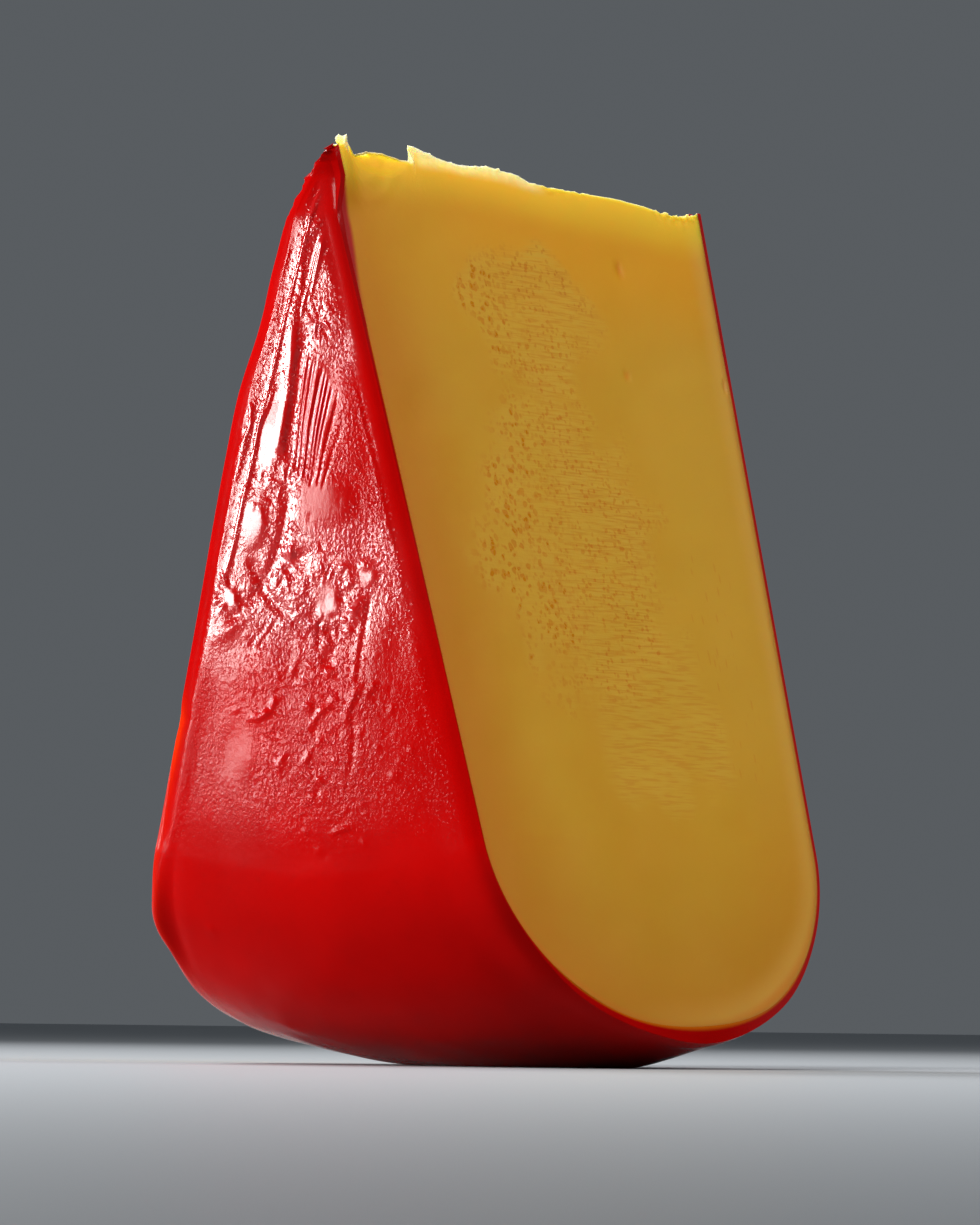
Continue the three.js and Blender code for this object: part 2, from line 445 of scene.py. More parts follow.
# %% The folds, bumps and puckers of the -X face
FOLDS = [  # width, height, line
    (0.28, 0.20, [(-3.0, 104.2), (-2.2, 101.8), (-1.0, 98.6), (0.6, 94.8), (2.2, 90.3), (5.2, 81.4)]),
    (0.28, 0.20, [(5.2, 81.4), (7.2, 75.8), (8.2, 72.0), (9.6, 67.6), (11.2, 62.4), (13.0, 57.4)]),
    (0.25, 0.16, [(5.2, 79.6), (6.0, 77.6), (7.4, 75.0)]),
    (0.28, 0.18, [(8.2, 78.2), (8.4, 75.6), (9.6, 72.4), (11.2, 68.0), (12.6, 62.8), (14.0, 58.6)]),
    (0.30, 0.16, [(9.0, 74.5), (10.6, 71.6), (12.4, 66.5), (13.6, 62.0), (15.2, 57.0)]),
    (0.45, 0.22, [(-1.6, 104.6), (0.4, 101.0), (2.2, 96.8), (3.9, 92.8)]),
    (0.30, 0.18, [(-2.6, 103.8), (-1.6, 101.4), (-0.7, 98.4)]),
    (0.25, 0.12, [(-3.1, 99.2), (-3.2, 102.5)]),
    (0.22, 0.12, [(-3.0, 96.8), (-2.2, 94.0), (-1.4, 91.6), (-0.6, 89.6)]),
    (0.22, 0.12, [(-2.6, 97.0), (-1.2, 93.0), (-0.1, 90.2), (0.6, 88.0)]),
    (0.50, 0.22, [(-4.5, 98.0), (-3.2, 98.8), (-1.8, 98.4), (-0.5, 96.8), (0.4, 94.0), (0.8, 90.5)]),
    (0.90, 0.30, [(1.0, 91.0), (2.0, 87.5), (2.4, 84.0), (2.7, 79.0), (3.4, 75.5), (4.6, 71.5)]),
    (0.40, -0.07, [(-7.8, 79.0), (-8.8, 75.5), (-10.0, 71.5), (-11.6, 66.0), (-13.6, 58.5), (-15.4, 51.5)]),
    (0.35, 0.05, [(-7.3, 79.0), (-8.3, 75.5), (-9.5, 71.5), (-11.1, 66.0), (-13.1, 58.5)]),
    (0.35, -0.10, [(-8.9, 54.5), (-8.2, 51.5), (-7.4, 48.0), (-6.8, 44.5)]),
    (0.30, 0.08, [(-8.2, 54.5), (-7.5, 51.5), (-6.7, 48.0), (-6.2, 44.5)]),
    (0.25, -0.18, [(-1.2, 52.5), (-1.1, 50.5), (-1.0, 48.5)]),
    (0.35, -0.12, [(4.8, 55.0), (2.6, 52.2), (0.4, 49.6)]),
    (0.25, -0.10, [(5.2, 52.3), (6.6, 50.7), (8.2, 49.0)]),
    (0.25, -0.10, [(6.2, 52.6), (7.6, 51.0), (9.6, 49.4)]),
    (0.80, -0.25, [(9.4, 60.0), (7.4, 56.2), (5.4, 54.2), (3.2, 52.4)]),
    (0.80, -0.25, [(4.6, 61.5), (6.2, 58.2), (8.0, 55.8), (10.2, 54.0)]),
    (0.90, -0.30, [(3.0, 69.0), (3.4, 65.0), (4.2, 62.5), (4.8, 60.0)]),
    (0.40, 0.28, [(5.4, 43.4), (6.4, 41.7), (7.8, 41.0), (9.6, 40.8)]),
    (0.45, 0.26, [(-7.2, 44.4), (-6.0, 42.6), (-5.0, 40.8)]),
    (0.35, 0.24, [(0.4, 36.9), (1.0, 35.9), (1.7, 35.3)]),
    (0.30, 0.20, [(-5.6, 27.9), (-4.0, 27.6), (-2.4, 27.1)]),
    (0.35, 0.18, [(-3.2, 42.6), (-1.4, 41.4), (0.4, 39.8)]),
    (0.30, -0.14, [(-6.0, 40.5), (-6.2, 37.5), (-5.6, 34.5)]),
    (0.40, 0.20, [(4.2, 36.6), (5.4, 35.4), (5.0, 34.2)]),
]

BUMPS = [  # y, z, half width, half height, height, turn
    (-5.2, 58.0, 1.1, 0.9, 0.34, 0), (-6.6, 53.2, 1.0, 1.7, 0.36, 35), (2.6, 60.6, 1.2, 0.8, 0.32, -20),
    (1.0, 56.0, 0.7, 0.7, 0.24, 0), (-4.8, 54.7, 0.6, 0.6, -0.30, 0), (12.6, 51.3, 2.0, 0.8, 0.36, -25),
    (11.8, 52.9, 1.2, 0.5, -0.34, -20), (-8.2, 58.4, 0.7, 0.6, 0.26, 0), (-2.6, 46.0, 0.8, 0.6, 0.36, 0),
    (-2.3, 47.3, 0.8, 0.7, -0.36, 0), (-2.2, 49.2, 0.8, 0.6, 0.28, 0), (-5.6, 50.8, 0.5, 0.5, 0.22, 0),
    (2.8, 46.6, 0.45, 1.0, 0.24, 25), (0.6, 42.0, 0.55, 0.55, 0.30, 0), (1.4, 44.8, 0.8, 0.5, 0.24, -30),
    (-9.2, 44.2, 0.6, 0.5, 0.26, 0), (-8.4, 43.4, 0.4, 0.5, 0.24, 0), (-1.0, 37.9, 0.4, 0.4, 0.22, 0),
    (-3.3, 35.6, 0.4, 0.35, 0.24, 0), (-4.6, 32.8, 0.5, 0.3, 0.22, 0), (0.4, 31.3, 0.6, 0.3, 0.26, -20),
    (-0.8, 33.5, 0.5, 0.35, 0.24, 0), (-12.0, 33.7, 0.7, 0.6, 0.22, 0), (19.0, 15.6, 0.6, 0.6, 0.24, 0),
    (3.6, 58.2, 0.6, 0.5, -0.28, 0), (6.4, 41.9, 0.5, 0.4, -0.20, 0), (-0.9, 87.6, 0.8, 0.6, 0.20, 0),
    (-3.4, 88.6, 0.6, 0.5, 0.20, 0), (-2.4, 86.2, 0.7, 0.5, -0.22, 0), (0.3, 85.2, 1.0, 1.6, -0.30, 15),
    (2.3, 77.0, 0.7, 4.2, -0.30, 14), (-1.6, 102.6, 0.4, 1.4, -0.25, 22), (-3.8, 101.0, 0.8, 2.0, 0.15, 10),
    (1.6, 93.6, 0.7, 2.4, 0.16, 22), (4.6, 89.2, 0.9, 2.6, 0.16, 28), (0.2, 46.6, 0.4, 0.4, 0.20, 0),
]  # fmt: skip

SMOOTH = [  # pressed flat: y, z, half width, half height, height, turn, lean towards the back cut
    (-2.6, 66.0, 4.2, 3.0, 0.14, 0, 1.0), (8.4, 63.8, 1.9, 3.2, 0.14, 12, 2.5),
    (5.6, 74.2, 1.9, 5.6, 0.10, 16, 2.5), (-2.6, 54.3, 2.1, 2.5, 0.10, 0, 2.0),
    (-8.6, 57.2, 1.3, 1.2, 0.08, 0, 2.5), (3.4, 60.0, 1.1, 0.8, 0.08, -25, 6.0),
    (-3.9, 101.4, 0.7, 2.6, 0.05, 4, 9.0), (-2.0, 94.8, 0.9, 3.6, 0.06, 22, 7.5),
    (2.1, 84.2, 0.8, 2.6, 0.06, 8, 7.0), (2.9, 97.0, 0.5, 3.2, 0.03, 24, 7.0),
    (1.0, 99.0, 0.6, 3.4, 0.03, 24, 3.0), (12.2, 55.0, 1.0, 1.2, 0.08, 0, 5.0),
    (-6.6, 53.4, 0.6, 1.6, 0.08, 35, 7.0), (11.6, 36.6, 2.6, 3.4, 0.02, 0, 2.0),
    (-1.9, 77.0, 2.5, 6.0, 0.0, 8, -2.4),
]  # fmt: skip

PUCKERS = [  # y, z, smooth middle, reach, spokes, height, seed
    (-2.6, 54.6, 2.9, 5.6, 40, 0.08, 11),
    (3.4, 58.6, 1.0, 3.2, 18, 0.11, 12),
    (12.3, 55.2, 1.0, 3.2, 14, 0.11, 13),
    (7.4, 67.6, 1.2, 3.2, 18, 0.08, 14),
    (-2.2, 87.2, 0.3, 2.6, 12, 0.08, 15),
    (3.6, 68.4, 0.6, 2.6, 14, 0.08, 16),
]

FAN_LINES = 15
DROPS = 170
FOLD_SHARE, BUMP_SHARE = 0.75, 0.5  # how much of the heights above is used, which sets the overall relief
print(len(FOLDS), "folds,", len(BUMPS), "bumps,", len(SMOOTH), "ovals and", len(PUCKERS), "puckers")


def fan(at):
    """Fine grooves that run together, left by a fold of the wrapping."""
    height = np.zeros(len(at))
    dice = np.random.default_rng(31)
    for i in range(FAN_LINES):
        t = i / (FAN_LINES - 1) + dice.uniform(-0.02, 0.02)
        top = np.array((-5.8 + 6.8 * t, 76.0 + 8.5 * max(t, 0) ** 0.8 + dice.uniform(-1.2, 1.2)))
        low = np.array((-2.6 + 5.8 * t, 68.0 + 3.4 * t**2 + dice.uniform(-0.8, 0.8)))
        width = (0.13 + 0.20 * t**2) * dice.uniform(0.7, 1.3)
        depth = (0.05 + 0.09 * t) * dice.uniform(0.6, 1.4)
        height -= fold(at, [top, (top + low) / 2 + (0.25, 0), low], width, depth)
    return height


# %% [markdown]
# The other faces get strokes of the same kinds, thrown at random, because nobody knows their real
# pattern. The rim stays calmer, as wax that ran over a round edge does. Near each cut the coat rolls
# inwards, and along the back cut of the -X face the knife pushed up a soft lip.

# %% The relief of both faces


def face_relief(at):
    """The relief of the -X face at places (y, height)."""
    height = fan(at)
    for width, amount, line in FOLDS:
        height += fold(at, line, width, FOLD_SHARE * amount)
    for y, z, wide, tall, amount, turn in BUMPS:
        height += bump(at, y, z, wide, tall, BUMP_SHARE * amount, turn)
    for _ in range(DROPS):
        y, z = rng.normal(0.0, 7.5), rng.normal(44.0, 11.0)
        size = rng.uniform(0.16, 0.42)
        tall, amount = size * rng.uniform(1, 1.6), rng.uniform(-0.10, 0.10)
        height += bump(at, y, z, size, tall, amount, rng.uniform(0, 180))
    for y, z, wide, tall, amount, turn, lean in SMOOTH:
        c, s = math.cos(math.radians(turn)), math.sin(math.radians(turn))
        across = (at[:, 0] - y) * c + (at[:, 1] - z) * s
        pressed = bump(at, y, z, wide, tall, 1.0, turn, flat=5)
        height += pressed * (amount - math.tan(math.radians(lean)) * across)
    for y, z, hole, reach, spokes, amount, seed in PUCKERS:
        height += pucker(at, y, z, hole, reach, spokes, amount, seed)
    return height


def thrown_relief(at):
    """Random folds, bumps and puckers for the face that is turned away."""
    height = np.zeros(len(at))
    for _ in range(16):
        start = np.array([rng.uniform(-8, 8), rng.uniform(45, 100)])
        slope = rng.uniform(-0.35, 0.35)
        length = rng.uniform(8, 26)
        line = [start + (slope * s, -s) for s in np.linspace(0, length, 4)]
        height += fold(at, line, rng.uniform(0.5, 0.9), rng.uniform(-0.22, 0.26))
    for _ in range(40):
        y, z = rng.uniform(-18, 18), rng.uniform(26, 90)
        wide, tall = rng.uniform(0.8, 2.2, 2)
        height += bump(at, y, z, wide, tall, rng.uniform(-0.2, 0.28), rng.uniform(0, 180))
    for seed in range(5):
        y, z = rng.uniform(-9, 9), rng.uniform(42, 75)
        height += pucker(at, y, z, rng.uniform(1, 2.4), rng.uniform(4, 6), 9, 0.16, 20 + seed)
    return height


# %% Measure where each point of the coat lies


def section_normal(x, radius):
    """The direction out of the coat, along the axis and away from it."""
    on_rim = radius > RIM_START
    out_x = np.where(on_rim, x / RIM_HALF_WIDTH**2, np.sign(x))
    out_r = np.where(on_rim, (radius - RIM_START) / RIM_DEPTH**2, FACE_TAPER)
    size = np.hypot(out_x, out_r)
    return out_x / size, out_r / size


def survey(points):
    """Where each point of the coat lies: the measures that the sculpting and the finish go by."""
    x, y, z = points.T
    radius = np.hypot(y, AXIS_HEIGHT - z)
    inside = np.minimum(face_x(radius) - np.abs(x), 9)
    ellipse = np.hypot(x / RIM_HALF_WIDTH, (radius - RIM_START) / RIM_DEPTH)
    inside = np.where(radius > RIM_START, (1 - ellipse) * RIM_DEPTH, inside)
    shaped = shape_wedge(points)
    at = shaped[:, 1:]
    return SimpleNamespace(
        x=x, y=y, z=z, radius=radius, shaped=shaped, at=at,
        outer=ease(1 - inside / 0.4),  # 1 on the outside of the coat, 0 on its inside
        front=np.maximum(at[:, 0] + cut_y(at[:, 1]), 0),  # distance to the front cut
        back=np.maximum(back_gap(shaped), 0),  # distance to the back cut
        near_face=ease((-x - 20) / 10),
        far_face=ease((x - 20) / 10),
    )  # fmt: skip


def away_from_cuts(here):
    """0 beside either cut, where the coat is rolled smooth, and 1 further in."""
    return ease((here.front - 1.6) / 1.6) * ease((here.back - 1.4) / 1.4)


# %% Sculpt the whole coat
DEEPEST, TALLEST = -0.95, 0.9  # limits of the relief
TORN_LOWER = 0.7  # how much lower the wax is torn than the cheese at the crest
POOLED_WAX = 1.1  # extra wax under the front of the rim


def lip_strength(here):
    """How strongly the wax is pushed up along the back cut: from a third of the height to the rim."""
    return 0.85 * ease((47 - here.z) / 9) * ease((-here.x - 4) / 18) * ease((here.z - 8) / 8)


def coat_height(here):
    """How far the outside of the coat is lifted, in millimetres."""
    at, z, front, back = here.at, here.z, here.front, here.back
    keep = away_from_cuts(here)
    on_face = ease((RIM_START + 6 - here.radius) / 14)
    calm = rough(here.shaped, 9, 5, 2) * 0.14 + rough(here.shaped, 28, 6, 2) * 0.20
    calm *= 1 - 0.75 * ease((50 - z) / 14) * here.near_face
    height = here.near_face * face_relief(at) * keep * ease((here.radius - 9) / 2)
    height += here.far_face * thrown_relief(at) * keep * on_face
    height += calm * keep
    # The coat rolls in towards each cut, and more widely lower down.
    span = np.clip(0.085 * (110 - z), 0.5, 5.0)
    rolled = span * (0.06 * np.exp(-((front / (0.25 * span)) ** 1.5)) + 0.085 * np.exp(-front / span))
    height -= here.near_face * rolled
    height -= 0.12 * np.exp(-((np.minimum(front, back) / 0.6) ** 1.5))
    bevel = np.clip(0.12 * (112 - z), 0.3, 2.0)
    height -= 0.31 * here.near_face * np.clip(bevel - back, 0, 2)
    # It is thinner low on the -X face, along the front of the +X face, and towards the back cut.
    height -= 0.40 * here.near_face * ease((41 - z) / 27) * ease((z - 1) / 14) * ease((front - 1) / 6)
    height -= 0.35 * here.far_face * np.exp(-front / 4)
    height -= 0.0009 * here.near_face * np.clip(at[:, 0] + 1, 0, 16) ** 2
    height = np.maximum(height, DEEPEST)
    # Low on the back cut the lip stands up, with a valley inside it.
    ridge = 0.9 * np.exp(-(((back - 0.8) / 0.8) ** 2)) - 0.25 * np.exp(-(((back - 2.6) / 0.9) ** 2))
    height += lip_strength(here) * ease((29 - z) / 14) * ridge
    return np.minimum(height, TALLEST) * here.outer


def flare(here):
    """How far the wax spreads past the back cut of the -X face."""
    z, back, near_face = here.z, here.back, here.near_face
    strength = np.maximum(lip_strength(here), near_face * ease((z - 36) / 8) * ease((90 - z) / 12))
    strength += 0.15 * near_face * np.exp(-(((z - 66) / 9) ** 2))
    spread = strength * 1.15 * np.exp(-((back / 2.6) ** 2))
    spread += 0.5 * near_face * ease((z - 84) / 10) * ease((106 - z) / 8) * np.exp(-((back / 1.8) ** 2))
    return spread + 0.5 * np.exp(-(((z - 17) / 2.6) ** 2) - (back / 2.5) ** 2) * near_face


def sculpt_coat(here):
    """The new place of every point of the coat."""
    x, y, z = here.x, here.y, here.z
    angle = np.arctan2(y, AXIS_HEIGHT - z)
    out_x, out_r = section_normal(x, here.radius)
    height = coat_height(here)
    torn = here.near_face * here.outer * np.exp(-np.maximum(crest_height(x) - z, 0) / 0.9)
    pooled = here.outer * np.exp(-(((x - 4) / 10) ** 2)) * ease((-y - 5) / 15) * ease((14 - z) / 8)
    moved = here.shaped + np.c_[
        out_x * height,
        np.sin(angle) * out_r * height + flare(here),
        -np.cos(angle) * out_r * height - TORN_LOWER * torn - POOLED_WAX * pooled,
    ]
    moved[:, 2] = np.maximum(moved[:, 2], 0.0)  # nothing sinks into the table
    return moved


here = survey(places(coat_mesh))
moved = sculpt_coat(here)
put_back(coat_mesh, moved)
print(f"relief reaches {moved[:, 0].min():.2f} mm on the -X side")

# %% [markdown]
# The finish needs to know four things about each point of the wax: how grainy it is, how far it is
# polished, how thin its edge is, which sets a painted orange glow, and how far paste is smeared over
# the cut edge. They follow from the same measures as the shape, so they are worked out here as
# numbers from 0 to 1.

# %% Grain, polish, the painted glow of the thin edge, and smear of the coat


def grain_of(here):
    """Orange-peel grain: on the faces, away from the cuts, the pressed ovals and the rim."""
    along_y, low = here.at[:, 0], ease((62 - here.z) / 15)
    smooth = sum(bump(here.at, y, z, w, t, 1.0, a, 5) for y, z, w, t, _, a, _ in SMOOTH) * here.near_face
    grain = away_from_cuts(here) * (1 - np.clip(smooth, 0, 1)) * ease((here.at[:, 1] - 24) / 9)
    grain *= 0.45 + 0.55 * ease((12 - along_y) / 6)
    return grain * (1 - 0.6 * here.near_face * ease((-5 - along_y) / 7) * low)


def polish_of(here):
    """Full gloss on the upper face, fading out downwards, towards the cuts and at the tip."""
    along_y, z = here.at[:, 0], here.z
    polish = 0.20 * ease((z - 25) / 8) + 0.80 * ease((z - 43) / 13)
    polish *= 1 - 0.70 * ease((2.2 - along_y) / 2) * ease((z - 61) / 4) * ease((84 - z) / 4)  # the fan
    polish *= here.near_face * (1 - 0.8 * ease((z - 103.5) / 2))
    polish *= 0.3 + 0.7 * ease((here.front - 0.8) / 1.5)
    polish *= ease((here.back - 1.5 - 1.5 * ease((50 - z) / 10)) / 1.8)
    polish *= 1 - 0.7 * ease((-6 - along_y) / 8) * ease((55 - z) / 12)
    return polish + 0.8 * ease((here.x - 5) / 15)


def lip_glow_of(here):
    """The lifted lip, thinnest at a third of the height, where a painted orange glow stands in for light
    shining through.
    """
    thinnest = np.exp(-(((here.z - 39) / 4) ** 2))
    return lip_strength(here) * np.exp(-((here.back / 0.9) ** 2)) * (0.25 + 0.75 * thinnest)


def smear_of(here):
    """The inner part of the cut edge, below the tip."""
    return (1 - here.outer) * ease((94 - here.z) / 10)


# %% Make the two finished pieces and paint them
wax_coat = finish_piece(coat_mesh, "wax_coat_skin")
cheese_paste = finish_piece(paste_mesh, "cheese_paste_body")


def paint(piece, name, values):
    """Keep a number at every point of a piece for its finish to read."""
    layer = piece.data.attributes.new(name, "FLOAT", "POINT")
    layer.data.foreach_set("value", np.asarray(values, np.float32))


def paste_masks(piece):
    """How far each point of the paste is from the wax and from the crest, and whether it is in an eye."""
    points = np.array([v.co[:] for v in piece.data.vertices]) / MM
    x, y, z = points.T
    radius = np.hypot(y, AXIS_HEIGHT - z)
    ellipse = np.hypot(x / (RIM_HALF_WIDTH - WAX), np.maximum(radius - RIM_START, 0) / (RIM_DEPTH - WAX))
    to_rim = (1 - ellipse) * (RIM_DEPTH - WAX) * (1 + 0.3 * np.abs(x) / RIM_HALF_WIDTH)
    to_face = face_x(np.minimum(radius, RIM_START), WAX) - np.abs(x)
    to_wax = np.minimum(to_face, np.where(radius > RIM_START, to_rim, 99))
    # Close to the crest its true line counts; further down, its mean line over a dozen millimetres.
    true_line = crest_height(x)
    mean_line = np.mean([crest_height(x + step) for step in range(-6, 7)], axis=0)
    close = np.exp(-((np.maximum(true_line - z, 0) / 1.5) ** 2))
    to_crest = close * true_line + (1 - close) * mean_line - z
    eyes = sum(np.exp(-(((x - ex) / w) ** 2 + ((z - ez) / t) ** 2)) for ex, ez, w, t in EYES) * (y < 0)
    return to_wax, to_crest, eyes


to_wax, to_crest, eyes = paste_masks(cheese_paste)
paint(cheese_paste, "to_wax", to_wax)
paint(cheese_paste, "to_crest", to_crest)
paint(cheese_paste, "eyes", eyes)
paint(wax_coat, "grain", grain_of(here))
paint(wax_coat, "lip_glow", lip_glow_of(here))
paint(wax_coat, "polished", polish_of(here))
paint(wax_coat, "smeared", smear_of(here))
print(f"eyes take up {np.mean(eyes > 0.5):.2%} of the paste's points")

# %% [markdown]
# ## Writing finishes as sums
# A finish is a small network of nodes. Wrapping a socket in a class with the usual operators lets
# the sums be written as sums, and one method makes every other kind of node.

# %% A socket that can be added and multiplied


class Value:
    """A number in a finish, used in ordinary sums."""

    def __init__(self, finish, socket):
        self.finish, self.socket = finish, socket

    def sum(self, operation, *others, swap=False):
        terms = (*others, self) if swap else (self, *others)
        return self.finish.node("ShaderNodeMath", {"operation": operation}, dict(enumerate(terms)))

    def __add__(self, other):
        return self.sum("ADD", other)

    def __sub__(self, other):
        return self.sum("SUBTRACT", other)

    def __rsub__(self, other):
        return self.sum("SUBTRACT", other, swap=True)

    def __mul__(self, other):
        return self.sum("MULTIPLY", other)

    def __truediv__(self, other):
        return self.sum("DIVIDE", other)

    def __pow__(self, other):
        return self.sum("POWER", other)

    __radd__, __rmul__ = __add__, __mul__

    def larger(self, other):
        return self.sum("MAXIMUM", other)

    def between(self, low, high):
        """0 at low and 1 at high, eased; low may be the larger."""
        sockets = {"Value": self, "From Min": low, "From Max": high}
        return self.finish.node("ShaderNodeMapRange", {"interpolation_type": "SMOOTHSTEP"}, sockets)


# %% A finish whose nodes are made by one method


def by_socket(values):
    """Python names such as base_color as the names of sockets."""
    return {name.replace("_", " ").title().replace("Ior", "IOR"): value for name, value in values.items()}


class Finish:
    """A material, with a short method for each kind of pattern."""

    def __init__(self, name, **shader_values):
        self.material = bpy.data.materials.new(name)
        self.material.use_nodes = True
        self.tree = self.material.node_tree
        self.shader = next(n for n in self.tree.nodes if n.type == "BSDF_PRINCIPLED")
        self.fill(self.shader, by_socket(shader_values))

    def fill(self, node, inputs):
        """Set the sockets of a node, or link them."""
        for socket, value in inputs.items():
            if isinstance(value, Value):
                self.tree.links.new(value.socket, node.inputs[socket])
            else:
                node.inputs[socket].default_value = value

    def node(self, kind, settings, inputs, output=0):
        """Make a node: its settings first, then the values or links of its sockets."""
        node = self.tree.nodes.new(kind)
        for name, value in settings.items():
            setattr(node, name, value)
        self.fill(node, inputs)
        return Value(self, node.outputs[output])

    def feed(self, **links):
        """Give the shader its values."""
        self.fill(self.shader, by_socket(links))

    def millimetres(self, stretch=(1, 1, 1)):
        """Object coordinates in millimetres, stretched for a pattern."""
        coordinates = self.node("ShaderNodeTexCoord", {}, {}, output="Object")
        scale = tuple(s / MM for s in stretch)
        return self.node("ShaderNodeMapping", {}, {"Vector": coordinates, "Scale": scale})

    def part(self, vector, axis):
        """One of X, Y and Z of a place."""
        return self.node("ShaderNodeSeparateXYZ", {}, {"Vector": vector}, output=axis)

    def wander(self, place, size, reach):
        """Shift a place a little in a random direction, so that shapes become uneven."""
        noise_sockets = {"Vector": place, "Scale": 1 / size, "Detail": 1.0}
        shift = self.node("ShaderNodeTexNoise", {}, noise_sockets, output="Color")
        sockets = {0: shift, 1: (reach, reach, reach), 2: place}
        return self.node("ShaderNodeVectorMath", {"operation": "MULTIPLY_ADD"}, sockets)

    def painted(self, name):
        """A number that was painted on the piece."""
        return self.node("ShaderNodeAttribute", {"attribute_name": name}, {}, output="Fac")

    def clouds(self, place, size, detail=3.0, roughness=0.55, distortion=0.0):
        """Soft noise from 0 to 1 with lumps of about the given size."""
        sockets = {"Vector": place, "Scale": 1 / size, "Detail": detail, "Roughness": roughness}
        return self.node("ShaderNodeTexNoise", {}, {**sockets, "Distortion": distortion})

    def cells(self, place, size):
        """Distance to the nearest of scattered points, from 0 at a point."""
        sockets = {"Vector": place, "Scale": 1 / size, "Randomness": 1.0}
        return self.node("ShaderNodeTexVoronoi", {}, sockets, output="Distance")

    def blend(self, factor, first, second):
        """Mix two colours, by the three sockets of a Mix node that colours use."""
        return self.node("ShaderNodeMix", {"data_type": "RGBA"}, {0: factor, 6: first, 7: second}, output=2)

    def relief(self, height, depth, strength, under=None):
        """Bump from a height of 0 to 1 that stands for depth in metres, over another one."""
        sockets = {"Height": height, "Distance": depth, "Strength": strength}
        return self.node("ShaderNodeBump", {}, sockets if under is None else {**sockets, "Normal": under})

    def share(self, amount, **changes):
        """Let a second shader take over by an amount from 0 to 1: the same one but for the changes."""
        same = {}
        for index, socket in enumerate(self.shader.inputs):
            if socket.is_linked:
                same[index] = Value(self, socket.links[0].from_socket)
            elif hasattr(socket, "default_value"):
                same[index] = socket.default_value
        second = self.node("ShaderNodeBsdfPrincipled", {}, {**same, **by_socket(changes)})
        first = Value(self, self.shader.outputs[0])
        mixed = self.node("ShaderNodeMixShader", {}, {0: amount, 1: first, 2: second})
        surface = next(n for n in self.tree.nodes if n.type == "OUTPUT_MATERIAL")
        self.fill(surface, {"Surface": mixed})


# %% [markdown]
# ## The red wax finish
# The wax is a deep, saturated red that light enters a little way. Its upper face mirrors the studio
# like glass, and its lower half hardly shines, so two shaders that differ only in how much they
# reflect are mixed by the painted polish. The grain is orange-peel with small round pits, strongest
# where the wrapping touched the face and missing from the pressed ovals, the rolled edges and the
# rim. Where the lifted lip is thin, an orange glow is painted into its colour for light shining
# through it, and the inner part of the cut edge is smeared with cheese.

# %% Red wax
RED = (0.40, 0.0008, 0.0006, 1)
DEEP_RED = (0.27, 0.0005, 0.0004, 1)
# Painted glow: the orange of light shining through the thin lifted lip.
LIP_GLOW_COLOUR = (0.80, 0.035, 0.002, 1)
SMEAR = (0.60, 0.15, 0.004, 1)


PINK_SHINE = (1.0, 0.82, 0.80, 1)
RIPPLE_DEPTH, PEEL_DEPTH = 0.00003, 0.00010
CALM_SHINE, FULL_SHINE = 0.02, 0.5


def red_wax():
    wax = Finish(
        "red_wax", subsurface_weight=0.12, subsurface_radius=(1.0, 0.05, 0.03), subsurface_scale=0.0012,
        ior=1.5, specular_ior_level=CALM_SHINE, specular_tint=PINK_SHINE,
    )  # fmt: skip
    place = wax.millimetres()
    grain = wax.painted("grain")
    slow = wax.clouds(place, 6.0, detail=2.0)
    pebbled = grain * (0.35 + slow * 1.1)
    peel = wax.clouds(place, 0.6, detail=1.5, roughness=0.5, distortion=0.8)
    crowd = wax.clouds(place, 2.6, detail=2.0).between(0.34, 0.56)
    pits = wax.cells(wax.wander(place, 0.7, 0.4), 0.52).between(0.42, 0.22) * crowd * grain
    height = peel * pebbled * 0.85 - pits * 0.5
    fine = wax.clouds(place, 0.9, detail=2.0)
    ripple = wax.relief(fine, RIPPLE_DEPTH, 0.6)
    wax.feed(normal=wax.relief(height, PEEL_DEPTH, 1.0, under=ripple))
    mottle = (wax.clouds(place, 14.0, detail=3.0) - 0.5) * 1.4 + 0.35
    colour = wax.blend(mottle, RED, DEEP_RED)
    # Painted glow where the lifted lip is thin, standing in for light shining through it.
    colour = wax.blend(wax.painted("lip_glow") * 0.8, colour, LIP_GLOW_COLOUR)
    colour = wax.blend(wax.painted("smeared").between(0.66, 1.0) * 0.8, colour, SMEAR)
    wax.feed(base_color=colour, roughness=0.12 + fine * 0.06 + pits * 0.55)
    wax.share(wax.painted("polished") * (1.0 - pits * 0.8), specular_ior_level=FULL_SHINE)
    return wax.material


wax_coat.data.materials.append(red_wax())
print("red wax has", len(wax_coat.data.materials[0].node_tree.nodes), "nodes")

# %% [markdown]
# ## The cheese finish
# The paste is firm, golden and a little translucent, so light sinks into it and leaves again with
# an amber colour where it is thin; under the crest an amber and yellow glow is also painted into its
# colour. The cut has a damp satin sheen, helped by a painted sheen that lightens its middle, small
# moist pits in its middle, fine marks of the blade, and a painted warm glow along the edges, where
# the red coat's light bleeds into the paste.
# The colours go on in layers, as a painter would: the ground first, then the marks, then the edges.

# %% The colours of the paste
GOLD = (0.56, 0.25, 0.004, 1)
# Painted glow: the orange of the red coat's light bleeding into the paste.
WAX_EDGE_GLOW = (0.53, 0.19, 0.003, 1)
# Painted glow: the amber of light shining through the thin paste under the crest.
CREST_GLOW_AMBER = (0.70, 0.30, 0.004, 1)
MILKY = (0.58, 0.31, 0.012, 1)
MOIST = (0.54, 0.19, 0.002, 1)
SHADE = (0.42, 0.17, 0.004, 1)
PALE_GOLD = (0.60, 0.34, 0.024, 1)
# Painted glow: gold along the rim, beside the wax.
RIM_GLOW_GOLD = (0.64, 0.33, 0.05, 1)
